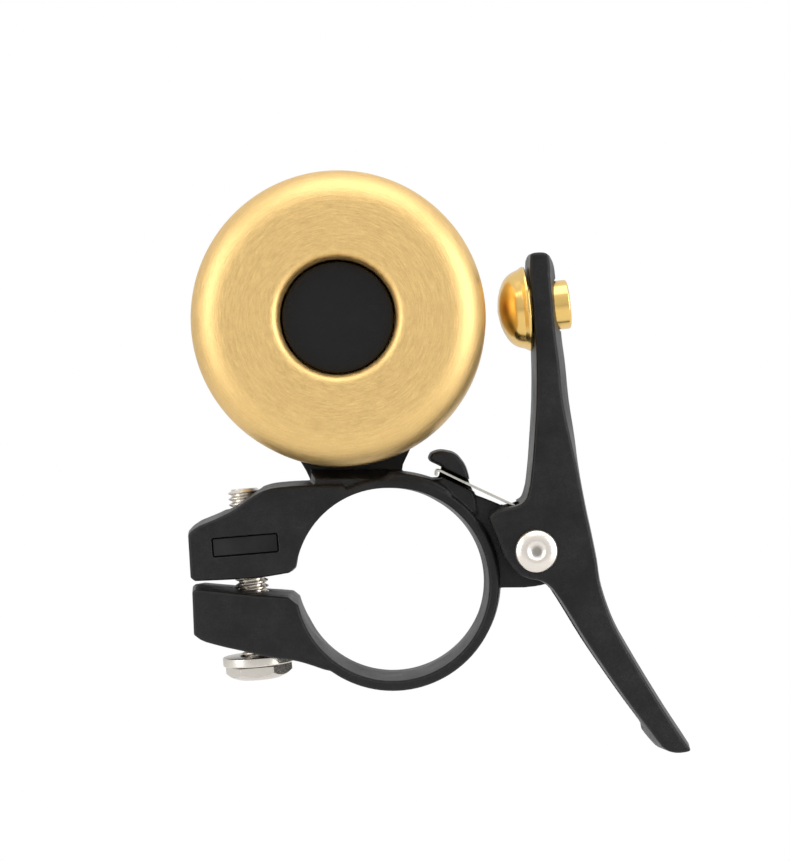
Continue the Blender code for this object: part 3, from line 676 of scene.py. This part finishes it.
def hexagon_screw():
    centre, up = clamp_axis()
    head_top, tip, corner = along("clamp_screw", centre, up)
    seat = along("clamp_washer", centre, up)[0] - 0.15
    height = seat - head_top
    deselect()
    bpy.ops.mesh.primitive_cylinder_add(vertices=6, radius=corner * MM, depth=height * MM)
    head = bpy.context.object
    head.name = "clamp_screw_head"
    place(head, Matrix.Translation((0, 0, (seat - height / 2) * MM)))
    crown = turned("crown", [
        (0, seat + 1, 0), (corner + 0.02, seat + 1, 0), (corner + 0.02, head_top + 1.0, 0),
        (corner - 0.62, head_top + 0.5, 0.6), (corner - 1.5, head_top + 0.14, 1.6), (0, head_top, 0),
    ])
    combine(head, crown, "INTERSECT")
    soften_edges(head, 0.1, 2)
    rod = threaded_rod("rod", seat - 0.8, tip, 2.0)
    chamfer = turned("chamfer", [
        (0, tip + 0.5, 0), (1.55, tip + 0.5, 0), (1.55, tip, 0), (2.1, tip - 0.55, 0), (2.1, seat - 0.4, 0),
        (0, seat - 0.4, 0),
    ], steps=48)
    combine(rod, chamfer, "INTERSECT")
    pick(head)
    rod.select_set(True)
    bpy.ops.object.join()
    head.name = "hexagon_clamp_screw"
    place(head, axis_frame(centre, up, FRONT))
    smooth(head, 32)
    finish_piece(head, "clamp_screw", "clamp_screw", "nickel")


def screw_washer():
    centre, up = clamp_axis()
    low, high, radius = along("clamp_washer", centre, up)
    piece = turned("clamp_screw_washer", ring_outline(2.15, radius, low, high, 0.16), closed=True)
    place(piece, axis_frame(centre, up))
    smooth(piece)
    finish_piece(piece, "clamp_washer", "clamp_washer", "nickel")


def square_nut():
    centre, up = clamp_axis()
    low, high, _ = along("clamp_nut", centre, up)
    box_low, box_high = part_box("clamp_nut")
    half, front = box_high.y / MM, -box_low.y / MM
    deselect()
    bpy.ops.mesh.primitive_cube_add(size=MM)
    nut = bpy.context.object
    nut.name = "square_clamp_nut"
    fill = 0.09  # the plate takes up most of the slot's clearance
    nut.scale = (half + front, 2 * (half + fill), high - low + 2 * fill)
    bpy.ops.object.transform_apply(scale=True)
    thread = turned("nut_thread", [(0, high + 2, 0), (2.12, high + 2, 0), (2.12, low - 2, 0), (0, low - 2, 0)], 48)
    place(nut, Matrix.Translation(((front - half) / 2 * MM, 0, (low + high) / 2 * MM)))
    combine(nut, thread, "DIFFERENCE")
    soften_edges(nut, 0.16, 3)
    place(nut, axis_frame(centre, up, FRONT))
    smooth(nut)
    finish_piece(nut, "clamp_nut", "bracket", "black_steel")


# The leaf spring


def return_spring():
    """A strip that hooks over the horn's seat and runs to the lever's throat."""
    low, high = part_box("leaf_spring")
    points = []
    for before, after in zip(rounded(SPRING_PATH), rounded(SPRING_PATH)[1:]):
        parts = max(1, round((after - before).length / 0.4))
        points += [before.lerp(after, k / parts) for k in range(parts)]
    points.append(rounded(SPRING_PATH)[-1])
    strip = drawn_line("return_spring", points)
    bpy.ops.mesh.select_all(action="SELECT")
    bpy.ops.mesh.extrude_edges_move(TRANSFORM_OT_translate={"value": (0, high.y - low.y, 0)})
    bpy.ops.mesh.select_all(action="SELECT")
    bpy.ops.mesh.normals_make_consistent(inside=False)
    leave_edit()
    place(strip, Matrix.Translation((0, low.y, 0)))
    modify(strip, "SOLIDIFY", thickness=SPRING_THICKNESS * MM, offset=0)
    soften_edges(strip, 0.06, 2, 60)
    smooth(strip)
    finish_piece(strip, "leaf_spring", None, "spring_steel")
    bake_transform(strip)


def kept_solids():
    """The pieces under the cap keep their solids, with a finer finish."""
    for node, slot in (
        ("dome_screw", "plain_steel"), ("dome_spring_washer", "plain_steel"), ("dome_flat_washer", "plain_steel"),
        ("dome_seat_washer", "rubber"),
    ):
        solid = frame["nodes"][node]
        for place_in_list in solid.material_slots:
            place_in_list.material = FINISHES[slot]


# The studio


def area_light(name, place_at, target, width, height, energy, colour=(1, 1, 1)):
    light = bpy.data.lights.new(name, "AREA")
    light.shape = "RECTANGLE"
    light.size = width
    light.size_y = height
    light.energy = energy
    light.color = colour
    lamp = bpy.data.objects.new(name, light)
    lamp.location = place_at
    lamp.rotation_euler = (Vector(target) - Vector(place_at)).to_track_quat("-Z", "Y").to_euler()
    bpy.context.scene.collection.objects.link(lamp)


def studio():
    middle = (cad_low + cad_high) / 2
    world = bpy.data.worlds.new("studio")
    bpy.context.scene.world = world
    world.use_nodes = True
    tree = world.node_tree
    around = tree.nodes["Background"]
    around.inputs["Color"].default_value = (1, 1, 1, 1)
    direction = tree.nodes.new("ShaderNodeTexCoord").outputs["Generated"]
    parts = tree.nodes.new("ShaderNodeSeparateXYZ")
    tree.links.new(direction, parts.inputs[0])
    tree.links.new(range_node(tree, parts.outputs["Z"], -1, 1, 0.62, 0.98), around.inputs["Strength"])
    seen = tree.nodes.new("ShaderNodeBackground")
    seen.inputs["Color"].default_value = (1, 1, 1, 1)
    choose = tree.nodes.new("ShaderNodeMixShader")
    rays = tree.nodes.new("ShaderNodeLightPath")
    tree.links.new(rays.outputs["Is Camera Ray"], choose.inputs["Fac"])
    tree.links.new(around.outputs[0], choose.inputs[1])
    tree.links.new(seen.outputs[0], choose.inputs[2])
    tree.links.new(choose.outputs[0], tree.nodes["World Output"].inputs["Surface"])
    area_light("top_softbox", (0.03, -0.12, 0.42), middle, 0.5, 0.32, 0.85)
    area_light("left_softbox", (-0.42, -0.22, 0.12), middle, 0.22, 0.5, 0.95)
    area_light("right_softbox", (0.42, -0.2, 0.1), middle, 0.2, 0.5, 1.35)


def floor():
    deselect()
    bpy.ops.mesh.primitive_plane_add(size=6, location=(0, 0, cad_low.z - 0.06))
    ground = bpy.context.object
    ground.name = "floor"
    material = bpy.data.materials.new("pale_floor")
    material.use_nodes = True
    tree = material.node_tree
    shader = tree.nodes["Principled BSDF"]
    shader.inputs["Base Color"].default_value = (0.72, 0.72, 0.72, 1)
    shader.inputs["Roughness"].default_value = 0.9
    glow = tree.nodes.new("ShaderNodeEmission")
    glow.inputs["Strength"].default_value = 1.0
    choose = tree.nodes.new("ShaderNodeMixShader")
    rays = tree.nodes.new("ShaderNodeLightPath")
    tree.links.new(rays.outputs["Is Camera Ray"], choose.inputs["Fac"])
    tree.links.new(shader.outputs[0], choose.inputs[1])
    tree.links.new(glow.outputs[0], choose.inputs[2])
    tree.links.new(choose.outputs[0], tree.nodes["Material Output"].inputs["Surface"])
    ground.data.materials.append(material)


def camera():
    view = bpy.data.cameras.new("camera")
    view.sensor_width = 36
    view.lens = 85.7
    view.clip_start = 0.01
    stand = bpy.data.objects.new("camera", view)
    stand.location = (0.00027, -0.25, 0.01835)
    stand.rotation_euler = (math.pi / 2, 0, 0)
    bpy.context.scene.collection.objects.link(stand)
    bpy.context.scene.camera = stand
    bpy.context.scene.view_settings.view_transform = "Standard"


camera()
studio()
floor()
bracket_moulding()
lever_moulding()
bell()
well_cap()
striker_button()
rivet()
rivet_washer()
hexagon_screw()
screw_washer()
square_nut()
return_spring()
kept_solids()
